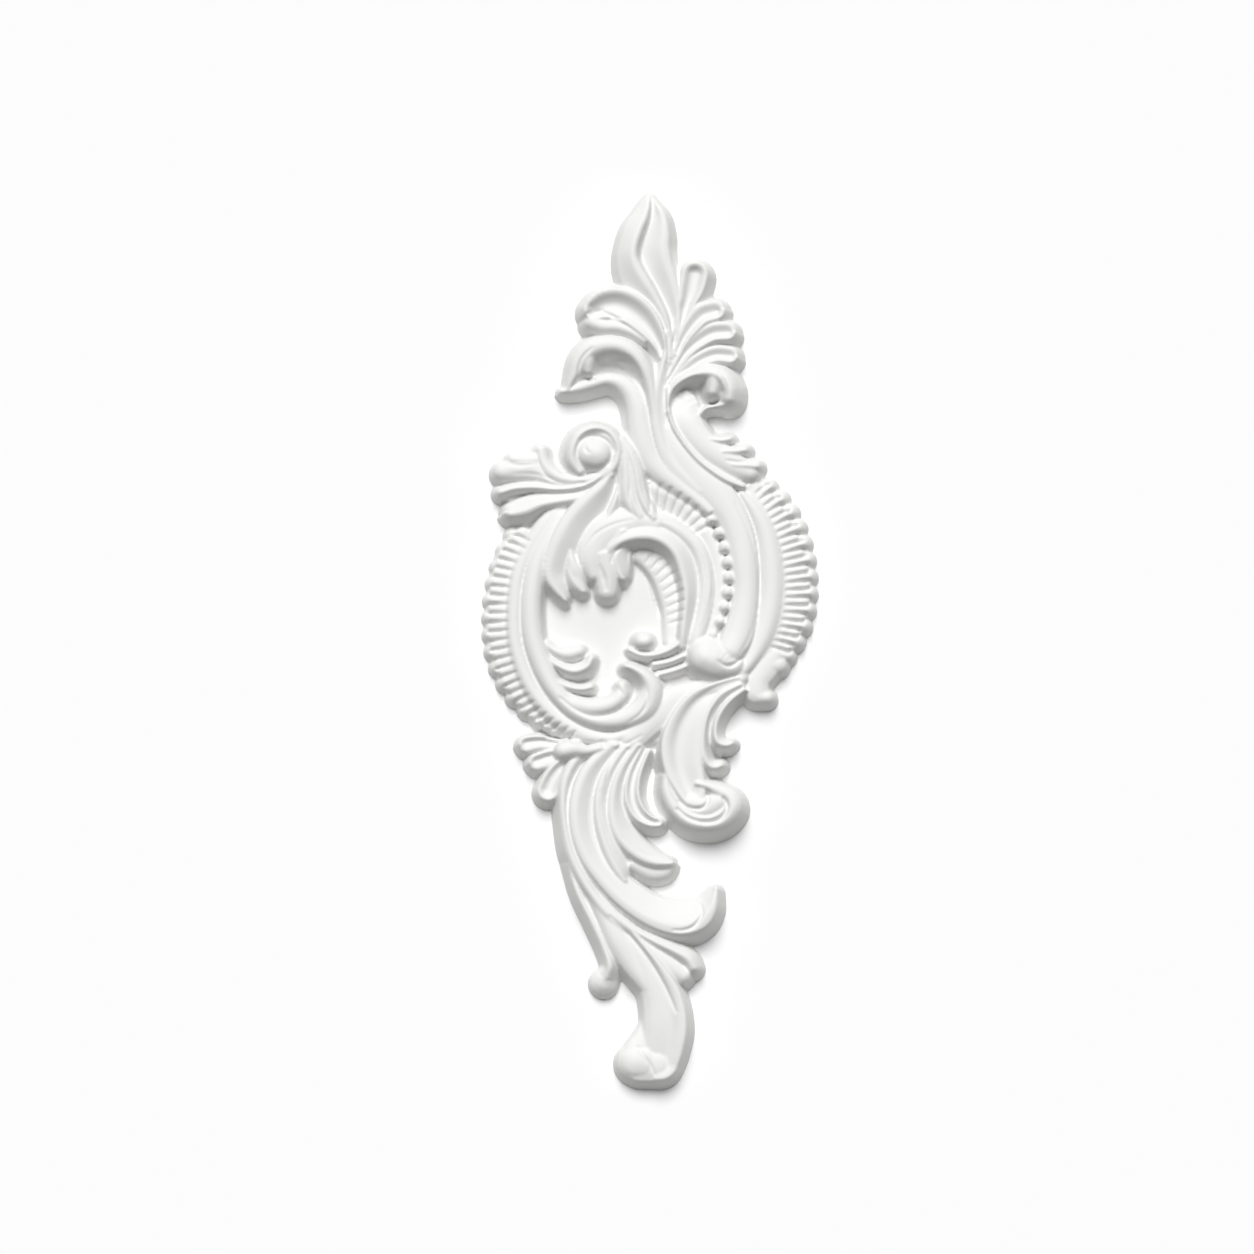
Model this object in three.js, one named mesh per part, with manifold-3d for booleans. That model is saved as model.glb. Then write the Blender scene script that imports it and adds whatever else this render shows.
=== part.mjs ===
import * as THREE from "three";
import { mergeVertices } from "three/addons/utils/BufferGeometryUtils.js";
import Module from "manifold-3d";

// Rocaille wall ornament, cast in one piece with a flat back.
// Frame in mm: back plane Y = 0, the carving faces -Y, +Z up, origin at the middle of the back.
const overallHeight = 600;
const reliefDepth = 32;
const onePercent = reliefDepth / 100;
const wallDraft = 0.33;
const backSink = 4;

// The drawing sheet: 898 squares from the lowest curl to the tip of the crown leaf, x to the
// right, y down. It was drawn from slightly below, so a raised point sits higher on the sheet
// and upright lengths are a little shortened.
const sheet = { squaresHigh: 898, middleX: 650, middleY: 640, viewSlope: 0.18 };
const upright = Math.hypot(1, sheet.viewSlope);
const square = overallHeight / sheet.squaresHigh / upright;

// Height across a stroke as a share of its rise, read from the right hand of someone walking
// along it to the left hand, and the number of faces it takes across.
const profiles = {
  dome: { shares: [0.6, 0.9, 1, 0.9, 0.6], faces: 3 },
  ball: { shares: [0.45, 0.8, 0.96, 1, 0.96, 0.8, 0.45], faces: 4 },
  button: { shares: [0.66, 0.94, 1, 0.94, 0.66], faces: 3 },
  soft: { shares: [0.88, 1, 0.88], faces: 2 },
  flat: { shares: [1, 1], faces: 1 },
  cup: { shares: [1, 0.8, 0.72, 0.8, 1], faces: 3 },
  rightHigh: { shares: [1, 0.98, 0.88, 0.76, 0.62], faces: 2 },
  leftHigh: { shares: [0.62, 0.76, 0.88, 0.98, 1], faces: 2 },
  rightRise: { shares: [0.97, 1, 0.9, 0.79, 0.68], faces: 2 },
  fold: { shares: [0.95, 0.75, 0.73, 0.86, 1], faces: 3 },
  rightLip: { shares: [1, 0.8, 0.78, 0.86, 0.92], faces: 3 },
  leftLip: { shares: [0.9, 0.86, 0.8, 0.78, 1], faces: 3 },
  leftBand: { shares: [0.68, 0.82, 0.84, 0.88, 1], faces: 3 },
  rimOnRight: { shares: [1, 0.88], faces: 1 },
  rimOnLeft: { shares: [0.88, 1], faces: 1 },
};
const narrowStroke = { halfBelow: 9.5, faces: 2, capAngles: [0.6] };

const heightAcross = ({ shares }, u) => {
  const place = (THREE.MathUtils.clamp(u, -1, 1) + 1) * 0.5 * (shares.length - 1);
  const step = Math.min(Math.floor(place), shares.length - 2);
  return THREE.MathUtils.lerp(shares[step], shares[step + 1], place - step);
};

// A stroke is one sweep of the carver: rows of [x, y, half width, rise in percent].
const stroke = (profileName, roundEnds, rows) => ({ profile: profiles[profileName], roundEnds, rows });

const crown = [
  stroke("leftHigh", "", [
    [648, 191, 1, 24], [646, 200, 4, 44], [641, 213, 7, 56], [633, 228, 9, 62], [628, 244, 9, 65],
    [627, 258, 10, 66], [631, 272, 12, 66], [640, 287, 12, 65], [651, 301, 9, 62],
    [662, 318, 6, 60], [668, 338, 4, 57], [669, 358, 2, 54],
  ]),
  stroke("leftHigh", "", [
    [651, 193, 1, 22], [655, 203, 3, 40], [658, 216, 8, 50], [657, 232, 12, 55], [655, 248, 14, 57],
    [658, 264, 14, 57], [665, 280, 12, 56], [671, 297, 9, 55], [675, 315, 6, 54],
    [676, 335, 4, 53], [674, 355, 2, 52],
  ]),
  stroke("cup", "start", [
    [695, 273, 13, 57], [692, 287, 12, 57], [687, 303, 8, 56], [681, 320, 6, 55],
    [676, 340, 4, 53], [670, 362, 2, 52],
  ]),
  stroke("fold", "start", [
    [594, 308, 10, 60], [604, 303, 14, 64], [618, 302, 15, 66], [632, 308, 15, 67],
    [645, 319, 13, 66], [655, 333, 9, 64], [661, 347, 5, 60], [665, 362, 2, 56],
  ]),
  stroke("soft", "start", [
    [592, 321, 7, 57], [603, 325, 7, 60], [617, 326, 6, 60], [631, 331, 5, 58], [646, 341, 3, 55],
  ]),
];

const leftLeaf = [
  stroke("soft", "", [
    [567, 390, 2, 46], [574, 374, 5, 56], [581, 359, 8, 62], [591, 348, 9, 66], [605, 344, 8.5, 68],
    [620, 345, 8, 70], [634, 353, 8, 70], [644, 367, 7, 68], [650, 384, 6, 64],
    [653, 404, 5, 60], [655, 426, 4, 56], [657, 446, 3, 52],
  ]),
  stroke("soft", "end", [[590, 352, 6, 62], [588, 362, 6, 60], [588, 369, 5, 55]]),
  stroke("soft", "", [
    [561, 391, 2, 44], [576, 388, 4.5, 47], [592, 383, 5.5, 49], [607, 379, 6, 50],
    [620, 382, 7.5, 51], [631, 392, 9, 53], [637, 406, 10, 55], [640, 424, 11, 56],
    [644, 442, 12, 56], [651, 458, 12, 55], [663, 472, 11, 55], [680, 486, 9, 55], [697, 499, 7, 55],
    [711, 512, 5, 55],
  ]),
];

const rightFingers = [
  stroke("leftLip", "start", [
    [715, 309, 10, 58], [702, 313, 10, 61], [691, 325, 8, 61], [682, 340, 5, 59],
    [675, 356, 4, 57], [667, 374, 2, 54],
  ]),
  stroke("leftLip", "start", [
    [727, 330, 9, 58], [713, 331, 9, 61], [699, 339, 8, 61], [687, 350, 6, 59],
    [677, 364, 4, 57], [667, 382, 2, 54],
  ]),
  stroke("leftLip", "start", [
    [730, 354, 8, 57], [716, 353, 8, 60], [702, 358, 7, 60], [689, 367, 6, 59], [677, 380, 4, 56],
    [667, 396, 2, 54],
  ]),
  stroke("dome", "end", [
    [668, 412, 3, 60], [669, 400, 3, 61], [672, 389, 4, 63], [681, 379, 6, 67], [695, 372, 7, 71],
    [710, 371, 9, 75],
    [723, 377, 11, 79], [730, 388, 11, 80], [730, 397, 11, 77],
  ]),
  stroke("soft", "end", [[714, 373, 7, 72], [715, 384, 7, 68], [714, 394, 6, 56]]),
  stroke("dome", "both", [[702, 413, 4, 50], [707, 407, 4, 56], [717, 404, 5, 62], [729, 402, 7, 68]]),
];

const rightFrond = [
  stroke("soft", "", [
    [677, 392, 6, 28], [684, 405, 14, 44], [686, 418, 14, 52], [694, 432, 13, 55],
    [706, 446, 13, 56], [722, 457, 13, 56], [738, 467, 11, 55], [752, 473, 7, 52],
  ]),
  stroke("dome", "", [
    [667, 386, 3, 63], [668, 406, 3, 62], [673, 425, 3, 62], [684, 443, 3, 61], [698, 459, 4, 60],
    [713, 471, 5, 60], [728, 480, 6, 58], [745, 487, 4, 53],
  ]),
  stroke("dome", "end", [[708, 438, 4, 54], [720, 440, 5, 57], [730, 439, 5, 55]]),
  stroke("dome", "end", [[722, 451, 5, 58], [735, 451, 6, 57], [745, 450, 6, 54]]),
  stroke("dome", "end", [[732, 464, 6, 58], [746, 465, 7, 57], [757, 466, 6, 53]]),
];

const volute = [
  stroke("soft", "", [
    [590, 478, 4, 60], [604, 475, 5, 62], [615, 464, 5, 64], [618, 448, 6, 66], [609, 434, 6, 70],
    [594, 428, 5, 72], [580, 434, 5, 73], [573, 447, 5, 73], [573, 461, 6, 70], [581, 473, 5, 64],
  ]),
  stroke("button", "both", [[591, 452, 18, 78], [596, 453, 18, 78]]),
  stroke("soft", "", [
    [613, 438, 5, 62], [623, 454, 8, 62], [627, 472, 9, 62], [628, 489, 9, 61],
    [632, 504, 8, 60], [641, 517, 6, 58],
  ]),
  stroke("soft", "", [
    [620, 438, 4, 60], [631, 454, 6, 62], [637, 472, 6, 62], [640, 490, 6, 61],
    [646, 506, 6, 60], [655, 519, 4, 58],
  ]),
  stroke("rightHigh", "", [
    [613, 476, 5, 62], [606, 490, 10, 63], [593, 505, 14, 63], [579, 522, 16, 62],
    [569, 539, 16, 61], [561, 556, 15, 58], [556, 572, 12, 55], [560, 586, 8, 52], [567, 599, 3, 48],
  ]),
  stroke("soft", "", [[570, 550, 2, 50], [573, 569, 7, 54], [577, 582, 7, 52], [584, 592, 3, 48]]),
  stroke("rightRise", "", [
    [623, 476, 3, 58], [621, 492, 5, 57], [616, 507, 6, 56], [609, 521, 5, 54],
  ]),
  stroke("soft", "end", [[603, 552, 10, 59], [606, 570, 11, 56], [607, 583, 10, 53], [607, 590, 9, 51]]),
  stroke("rightRise", "", [
    [626, 532, 8, 62], [620, 546, 10, 59], [620, 558, 10, 56], [622, 569, 8, 53], [624, 576, 5, 50],
  ]),
];

const leftFronds = [
  stroke("soft", "start", [
    [541, 450, 5, 53], [543, 461, 6, 55], [550, 471, 6, 57], [562, 478, 5, 59], [577, 480, 4, 60],
    [592, 479, 4, 60],
  ]),
  stroke("soft", "start", [[513, 459, 5, 50], [524, 460, 6, 51], [537, 460, 7, 53]]),
  stroke("soft", "start", [
    [503, 471, 8, 49], [516, 469, 10, 52], [532, 468, 11, 54], [547, 475, 9, 56],
    [562, 482, 5, 58], [580, 485, 3, 60],
  ]),
  stroke("dome", "start", [
    [501, 492, 6, 52], [515, 488, 6, 55], [535, 487, 6, 57], [556, 489, 5, 59], [578, 487, 5, 61],
    [597, 479, 5, 63], [609, 466, 4, 64],
  ]),
  stroke("rightRise", "start", [
    [511, 510, 7, 54], [524, 506, 9, 57], [540, 500, 8, 58], [560, 497, 7, 59], [580, 494, 6, 60],
    [598, 486, 5, 61], [611, 471, 4, 62],
  ]),
];

const ringRight = [
  stroke("rightHigh", "", [
    [668, 330, 3, 57], [668, 350, 4, 58], [665, 370, 6, 59], [662, 392, 9, 59], [662, 414, 11, 58],
    [666, 434, 12, 57], [674, 452, 14, 56], [688, 468, 15, 55], [704, 484, 14, 54],
  ]),
  stroke("soft", "end", [
    [664, 428, 10, 52], [676, 452, 15, 54], [692, 472, 18, 54], [712, 490, 18, 55],
    [729, 511, 15, 56], [739, 534, 14, 57], [744, 560, 13, 58], [746, 588, 12, 58],
    [743, 614, 13, 60], [738, 634, 14, 63], [731, 649, 13, 68],
  ]),
  stroke("ball", "both", [[706, 655, 22, 80], [716, 659, 22, 78], [731, 663, 17, 66]]),
  stroke("soft", "", [
    [741, 492, 4, 45], [756, 512, 7, 48], [766, 534, 9, 49], [771, 560, 10, 50],
    [772, 588, 10, 50], [769, 614, 10, 50], [762, 638, 9, 50], [752, 658, 7, 50],
    [740, 674, 5, 50], [728, 686, 3, 48],
  ]),
  stroke("rimOnRight", "", [
    [752, 486, 6, 38], [767, 503, 10, 40], [781, 530, 12, 40], [791, 558, 13, 40],
    [795, 586, 14, 40], [791, 614, 13, 40], [782, 638, 12, 40], [771, 659, 9, 40],
  ]),
  stroke("soft", "end", [[778, 650, 9, 39], [766, 666, 13, 41], [758, 680, 11, 42], [757, 692, 11, 42]]),
  stroke("soft", "end", [[757, 696, 7, 42], [767, 697, 6, 42]]),
  stroke("soft", "end", [[766, 664, 8, 40], [778, 664, 8, 40]]),
];

const ringLeft = [
  stroke("rimOnLeft", "", [
    [524, 533, 7, 38], [512, 552, 11, 38], [505, 576, 11, 38], [501, 602, 11, 38],
    [500, 628, 11, 38], [503, 652, 10, 38], [510, 674, 9, 38], [521, 693, 8, 37],
    [535, 710, 7, 36], [553, 724, 6, 35], [573, 733, 5, 34], [594, 738, 3, 32],
  ]),
  stroke("soft", "", [
    [561, 505, 6, 46], [545, 525, 8, 47], [529, 549, 8, 47], [518, 576, 7, 47], [514, 606, 7, 47],
    [514, 636, 7, 47], [520, 663, 7, 47], [531, 688, 7, 47], [547, 709, 7, 47],
    [567, 725, 7, 47], [590, 736, 7, 47], [614, 738, 6, 47], [636, 729, 5, 48],
  ]),
  stroke("soft", "end", [
    [562, 515, 8, 50], [548, 540, 10, 53], [537, 565, 9, 55], [532, 590, 9, 56],
    [531, 615, 9, 56], [534, 641, 9, 56], [543, 667, 9, 56],
    [556, 691, 8, 57], [575, 710, 8, 58], [600, 720, 8, 59], [624, 718, 9, 60], [644, 707, 11, 62],
    [652, 690, 9, 63], [646, 677, 6, 63], [635, 669, 4, 62], [626, 666, 3, 60],
  ]),
];

const innerFronds = [
  stroke("soft", "end", [[545, 642, 3, 44], [554, 650, 4, 46], [567, 654, 6, 48], [579, 651, 6, 48]]),
  stroke("dome", "end", [
    [545, 655, 4, 48], [557, 665, 5, 52], [573, 671, 7, 55], [586, 667, 7, 56], [591, 659, 6, 54],
  ]),
  stroke("dome", "end", [
    [543, 664, 4, 50], [552, 677, 4, 52], [566, 686, 5, 53], [581, 689, 5, 54], [591, 687, 5, 52],
  ]),
  stroke("soft", "end", [
    [551, 684, 5, 50], [566, 699, 7, 54], [588, 707, 8, 60], [608, 705, 8, 62], [621, 696, 7, 61],
    [622, 686, 5, 58],
  ]),
];

const innerShell = [
  stroke("leftHigh", "", [
    [646, 492, 12, 42], [661, 499, 13, 42], [676, 508, 14, 42], [690, 522, 14, 42],
    [702, 541, 14, 42], [711, 565, 14, 42], [713, 590, 14, 42], [708, 615, 14, 42], [701, 634, 12, 42],
  ]),
  stroke("soft", "", [
    [640, 517, 5, 54], [662, 521, 7, 54], [682, 532, 7, 54], [697, 547, 7, 53],
    [705, 567, 7, 52], [707, 590, 7, 52], [704, 614, 7, 52], [696, 638, 6, 50],
  ]),  stroke("soft", "", [
    [594, 576, 6, 51], [592, 558, 13, 56], [599, 541, 16, 58], [613, 528, 16, 59],
    [636, 521, 12, 57], [658, 524, 8, 54],
  ]),
  stroke("rightHigh", "", [
    [601, 563, 2, 50], [607, 546, 7, 60], [619, 536, 9, 65], [635, 531, 9, 67],
    [653, 531, 9, 68], [669, 538, 9, 68], [681, 551, 9, 67],
    [688, 570, 9, 65], [691, 592, 8, 63], [689, 614, 7, 60], [684, 634, 5, 55],
  ]),
  stroke("soft", "", [
    [637, 556, 5, 29], [650, 561, 9, 30], [662, 573, 11, 31], [669, 590, 11, 32],
    [673, 609, 10, 32], [672, 627, 8, 32], [669, 643, 5, 32],
  ]),
  stroke("button", "both", [[642, 641, 9, 60], [645, 641, 9, 60]]),
  stroke("dome", "both", [
    [629, 650, 3, 44], [641, 655, 4, 47], [655, 655, 4, 49], [669, 650, 5, 51], [681, 642, 5, 52],
  ]),
  stroke("dome", "", [[652, 665, 4, 42], [669, 662, 4, 45], [686, 655, 4, 47]]),
  stroke("dome", "", [[657, 675, 4, 40], [673, 671, 4, 43], [689, 665, 4, 45]]),
];

// The low ground that ties the carving together.
const ground = [
  stroke("flat", "both", [[597, 600, 54, 11], [606, 636, 56, 11], [642, 664, 42, 11], [684, 668, 20, 14]]),
  stroke("flat", "both", [[632, 502, 14, 28], [664, 534, 16, 28], [687, 574, 18, 28], [696, 634, 20, 28]]),
  stroke("flat", "both", [[600, 364, 9, 12], [622, 372, 12, 14], [640, 400, 14, 30], [646, 450, 20, 32]]),
  stroke("flat", "both", [[689, 387, 10, 14], [704, 398, 12, 16]]),
  stroke("flat", "both", [[514, 490, 12, 26], [560, 488, 16, 28], [600, 500, 16, 30]]),
  stroke("flat", "both", [[548, 752, 10, 24], [580, 748, 14, 26], [640, 734, 14, 26], [700, 700, 14, 26]]),
];

const saddle = [
  stroke("soft", "", [
    [744, 676, 6, 50], [722, 686, 7, 50], [698, 691, 10, 48], [672, 702, 14, 48],
    [650, 720, 14, 49], [630, 740, 13, 50],
  ]),
];

const palmette = [
  stroke("leftLip", "start", [[527, 744, 8, 40], [540, 742, 7, 42], [556, 744, 5, 43], [572, 746, 3, 43]]),
  stroke("leftLip", "start", [[537, 762, 8, 41], [549, 758, 8, 43], [562, 754, 5, 45], [576, 750, 3, 45]]),
  stroke("cup", "start", [[548, 790, 10, 43], [553, 778, 9, 45], [562, 766, 7, 47], [576, 756, 4, 47]]),
  stroke("soft", "start", [[566, 753, 6, 47], [580, 748, 5, 48], [600, 744, 4, 48]]),
];

const acanthus = [
  stroke("rightLip", "end", [
    [741, 681, 5, 56], [717, 691, 9, 58], [699, 704, 14, 60], [687, 723, 17, 60],
    [682, 744, 20, 60], [683, 764, 19, 60], [688, 780, 16, 60], [692, 791, 13, 61],
  ]),
  stroke("dome", "end", [
    [746, 688, 4, 54], [729, 701, 5, 55], [718, 717, 5, 56], [715, 732, 5, 56], [718, 742, 6, 55],
    [726, 745, 5, 53], [732, 743, 4, 50],
  ]),
  stroke("dome", "end", [
    [741, 684, 4, 56], [720, 695, 5, 57], [708, 713, 5, 58], [703, 734, 6, 57], [703, 752, 7, 56],
    [708, 764, 6, 54], [715, 767, 6, 52], [721, 765, 5, 50],
  ]),
  stroke("soft", "end", [
    [665, 774, 3, 55], [667, 791, 6, 58], [675, 807, 7, 60], [690, 819, 8, 62],
    [708, 822, 8, 64], [723, 817, 9, 65], [732, 806, 9, 66], [729, 796, 8, 64], [717, 790, 6, 61],
    [703, 786, 4, 57],
  ]),
  stroke("soft", "both", [[690, 803, 9, 60], [706, 807, 11, 61], [719, 801, 9, 62]]),
];

const tail = [
  stroke("soft", "", [
    [600, 742, 5, 50], [578, 757, 5, 52], [566, 778, 5, 55], [563, 802, 4, 57], [565, 826, 4, 57],
    [570, 850, 5, 57], [580, 873, 5, 57], [593, 894, 5, 57], [608, 912, 6, 57],
    [624, 925, 5, 55], [640, 936, 3, 52],
  ]),
  stroke("soft", "", [
    [574, 858, 2, 48], [588, 886, 5, 50], [603, 912, 8, 52], [617, 938, 11, 53], [631, 962, 12, 50],
    [645, 985, 9, 47], [654, 1008, 4, 40],
  ]),
  stroke("leftBand", "end", [
    [578, 870, 2, 53], [591, 891, 4, 55], [606, 909, 6, 56], [623, 930, 8, 57], [640, 953, 10, 58],
    [653, 976, 15, 58],
    [662, 998, 19, 57], [665, 1022, 21, 55], [663, 1043, 20, 50], [659, 1059, 19, 44],
  ]),
  stroke("button", "both", [[637, 1060, 19, 48], [646, 1061, 18, 47]]),
  stroke("soft", "both", [[640, 1063, 16, 42], [656, 1063, 16, 43]]),
  stroke("soft", "end", [[654, 1012, 6, 36], [647, 1034, 10, 39], [637, 1050, 12, 42]]),
  stroke("rightHigh", "", [
    [616, 748, 9, 52], [594, 772, 12, 56], [584, 800, 13, 59], [584, 826, 13, 60],
    [592, 851, 13, 60], [607, 873, 13, 60], [627, 893, 14, 60], [651, 909, 15, 60],
    [675, 916, 17, 60], [694, 914, 16, 60], [705, 906, 11, 60], [710, 897, 7, 58], [714, 888, 3, 54],
  ]),
  stroke("rightHigh", "", [
    [628, 748, 7, 51], [611, 775, 9, 54], [604, 800, 9, 55], [607, 825, 10, 56],
    [614, 848, 10, 56], [621, 866, 8, 54], [626, 879, 3, 50],
  ]),
  stroke("rightHigh", "", [
    [640, 746, 5, 50], [624, 772, 7, 52], [617, 800, 8, 53], [621, 825, 10, 54],
    [634, 844, 10, 54], [652, 856, 8, 52], [672, 861, 3, 48],
  ]),
  stroke("cup", "", [
    [646, 748, 4, 47], [635, 772, 6, 50], [632, 794, 7, 51], [638, 811, 7, 50], [649, 820, 5, 48],
    [660, 822, 3, 45],
  ]),
  stroke("soft", "", [[630, 862, 5, 40], [650, 870, 8, 38], [664, 870, 7, 36], [672, 865, 4, 34]]),
  stroke("dome", "end", [
    [620, 916, 3, 54], [638, 931, 5, 56], [656, 941, 7, 56], [673, 949, 8, 55], [687, 957, 9, 53],
    [693, 966, 8, 50],
  ]),
  stroke("soft", "end", [[640, 938, 4, 50], [656, 953, 7, 49], [672, 966, 8, 47], [683, 974, 7, 45]]),
  stroke("dome", "end", [
    [568, 862, 4, 44], [578, 892, 5, 47], [592, 920, 6, 48], [604, 946, 6, 48],
    [610, 966, 7, 49], [605, 980, 11, 45],
  ]),
];

// The scalloped edge of the two side rims: a row of short lobes from an inner line to their tips.
const rimLobes = [
  {
    count: 12, half: 7.5, rise: 38,
    inner: [[762, 492], [776, 513], [787, 540], [793, 570], [793, 600], [786, 628], [775, 651]],
    tips: [[775, 482], [794, 503], [808, 533], [815, 567], [815, 602], [808, 633], [794, 658]],
  },
  {
    count: 15, half: 7.5, rise: 36,
    inner: [
      [520, 541], [507, 566], [501, 594], [499, 622], [502, 650], [511, 676], [526, 699],
      [547, 717], [572, 730],
    ],
    tips: [
      [507, 531], [494, 558], [486, 591], [484, 622], [487, 655], [498, 684], [515, 708],
      [540, 728], [568, 740],
    ],
  },
];
const lobeTaper = 0.7;

const stationRule = { looksPerRow: 8, mostSag: 3.4, mostTurn: 0.8, farthest: 60 };
const capAngles = [0.5, 1.1];
const bendShare = 0.9;
const endFlare = 0.7;
const leastHeight = 0.5;

// Stations along a stroke, closer together where it bends, with half circles at its round ends.
const stationsOf = ({ roundEnds, rows }) => {
  const path = new THREE.SplineCurve(rows.map(([x, y]) => new THREE.Vector2(x, y)));
  const size = new THREE.SplineCurve(rows.map(([, , half, rise]) => new THREE.Vector2(half, rise)));
  const stationAt = (t) => {
    const { x: half, y: rise } = size.getPoint(t);
    return { centre: path.getPoint(t), along: path.getTangent(t), half, rise, lean: 0, spread: 1 };
  };
  const looks = (rows.length - 1) * stationRule.looksPerRow;
  const stations = [stationAt(0)];
  for (let look = 1; look < looks; look += 1) {
    const previous = stations[stations.length - 1];
    const next = stationAt((look + 1) / looks);
    const turn = Math.acos(Math.min(previous.along.dot(next.along), 1));
    const travel = previous.centre.distanceTo(next.centre);
    const sag = (travel + turn * next.half) * turn / 8;
    if (sag > stationRule.mostSag || turn > stationRule.mostTurn || travel > stationRule.farthest) {
      stations.push(stationAt(look / looks));
    }
  }
  stations.push(stationAt(1));
  const anglesFor = ({ half }) => (half < narrowStroke.halfBelow ? narrowStroke.capAngles : capAngles);
  const cap = (end, sign) => anglesFor(end).map((angle) => ({
    ...end,
    centre: end.centre.clone().addScaledVector(end.along, sign * end.half * Math.cos(angle)),
    lean: Math.cos(angle),
    spread: Math.sin(angle),
  }));
  if (roundEnds === "start" || roundEnds === "both") {
    stations.unshift(...cap(stations[0], -1));
  }
  if (roundEnds === "end" || roundEnds === "both") {
    stations.push(...cap(stations[stations.length - 1], 1).reverse());
  }
  stations.forEach((station, i) => {
    const before = stations[Math.max(i - 1, 0)];
    const after = stations[Math.min(i + 1, stations.length - 1)];
    const turn = before.along.x * after.along.y - before.along.y * after.along.x;
    const travel = before.centre.distanceTo(after.centre);
    const radius = travel / Math.max(Math.abs(turn), 1e-6);
    station.innerSide = turn > 0 ? -1 : 1;
    station.innerLimit = bendShare * radius;
  });
  return stations;
};

// Sheet place and height above the back to the part's own frame.
const toFrame = (x, y, height) => [
  (x - sheet.middleX) * square,
  -height,
  (sheet.middleY - y) * square * upright - sheet.viewSlope * height,
];

const strokeBlank = (item) => {
  const stations = stationsOf(item);
  const widest = Math.max(...item.rows.map(([, , half]) => half));
  const across = widest < narrowStroke.halfBelow
    ? Math.min(narrowStroke.faces, item.profile.faces) : item.profile.faces;
  const blank = new THREE.BoxGeometry(2, 2, 1, across, 1, stations.length - 1);
  const place = blank.getAttribute("position");
  for (let i = 0; i < place.count; i += 1) {
    const u = place.getX(i);
    const step = Math.round((place.getZ(i) + 0.5) * (stations.length - 1));
    const { centre, along, half, rise, lean, spread, innerSide, innerLimit } = stations[step];
    const reach = Math.hypot(lean, u * spread);
    const side = reach > 0 ? (u * spread) / reach : 0;
    const share = THREE.MathUtils.lerp(
      heightAcross(item.profile, -reach), heightAcross(item.profile, reach), (side + 1) / 2);
    const height = Math.max(share * rise * onePercent, leastHeight);
    const isFoot = place.getY(i) < 0;
    const flare = isFoot ? (wallDraft * (height + backSink)) / square : 0;
    const endward = step === 0 ? -1 : Number(step === stations.length - 1);
    const edge = half * spread + flare * (endward ? endFlare : 1);
    const aside = u * (Math.sign(u) === innerSide ? Math.min(edge, innerLimit) : edge);
    const onward = endward * flare * endFlare;
    const x = centre.x + along.y * aside + along.x * onward;
    const y = centre.y - along.x * aside + along.y * onward;
    const [right, front, up] = toFrame(x, y, height);
    place.setXYZ(i, right, isFoot ? backSink : front, up);
  }
  return blank;
};

const wasm = await Module();
wasm.setup();

const toSolid = (geometry) => {
  const bare = geometry.clone();
  bare.deleteAttribute("normal");
  bare.deleteAttribute("uv");
  const welded = mergeVertices(bare, 1e-4);
  const solid = new wasm.Manifold(new wasm.Mesh({
    numProp: 3,
    vertProperties: new Float32Array(welded.getAttribute("position").array),
    triVerts: new Uint32Array(welded.getIndex().array),
  }));
  return solid;
};

const sheetLine = (points) => new THREE.SplineCurve(points.map(([x, y]) => new THREE.Vector2(x, y)));

const lobeStrokes = rimLobes.flatMap(({ count, half, rise, inner, tips }) => (
  Array.from({ length: count }, (_, i) => {
    const from = sheetLine(inner).getPointAt(i / (count - 1));
    const to = sheetLine(tips).getPointAt(i / (count - 1));
    return stroke("flat", "", [[from.x, from.y, half, rise], [to.x, to.y, half * lobeTaper, rise]]);
  })
));

const everyStroke = [
  ground, ringRight, ringLeft, lobeStrokes, innerShell, innerFronds, saddle, volute, leftFronds, crown,
  leftLeaf, rightFingers, rightFrond, palmette, acanthus, tail,
].flat();

let body = null;
for (const item of everyStroke) {
  const piece = toSolid(strokeBlank(item));
  body = body ? body.add(piece) : piece;
}

// Flutes: cones that widen outwards, cut at even steps between an inner and an outer line.

const flutes = [
  {
    count: 11, radius: 3.6, innerRise: 40, outerRise: 36,
    inner: [[757, 496], [770, 516], [783, 545], [789, 575], [789, 603], [783, 630], [773, 648]],
    outer: [[772, 484], [791, 506], [805, 536], [811, 568], [811, 600], [804, 628], [791, 653]],
  },
  {
    count: 12, radius: 3.6, innerRise: 38, outerRise: 34,
    inner: [
      [526, 545], [513, 566], [507, 594], [506, 622], [509, 650], [517, 676], [531, 699],
      [550, 717], [574, 731],
    ],
    outer: [
      [509, 535], [496, 561], [489, 592], [487, 622], [490, 652], [500, 679], [516, 702],
      [540, 721], [569, 738],
    ],
  },
  {
    count: 5, radius: 3.2, innerRise: 35, outerRise: 40,
    inner: [[654, 512], [665, 512], [674, 517], [684, 525], [693, 534]],
    outer: [[655, 474], [669, 478], [682, 485], [694, 495], [703, 507]],
  },
  {
    count: 4, radius: 2.4, innerRise: 30, outerRise: 32,
    inner: [[650, 566], [658, 575], [664, 590], [667, 606], [668, 624]],
    outer: [[657, 553], [670, 563], [679, 580], [683, 600], [682, 620]],
  },
];

const fluteTaper = 0.5;
// A three-sided cutter with one edge pointing into the body, so each flute is a V.
const fluteCutter = (from, to, radius) => {
  const cutter = new THREE.CylinderGeometry(
    radius * fluteTaper * square, radius * square, from.distanceTo(to), 3, 1);
  const along = from.clone().sub(to).normalize();
  const aside = new THREE.Vector3().crossVectors(along, new THREE.Vector3(0, 1, 0)).normalize();
  const inward = new THREE.Vector3().crossVectors(aside, along);
  cutter.applyMatrix4(new THREE.Matrix4().makeBasis(aside, along, inward));
  return cutter.translate(...from.clone().lerp(to, 0.5).toArray());
};

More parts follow.
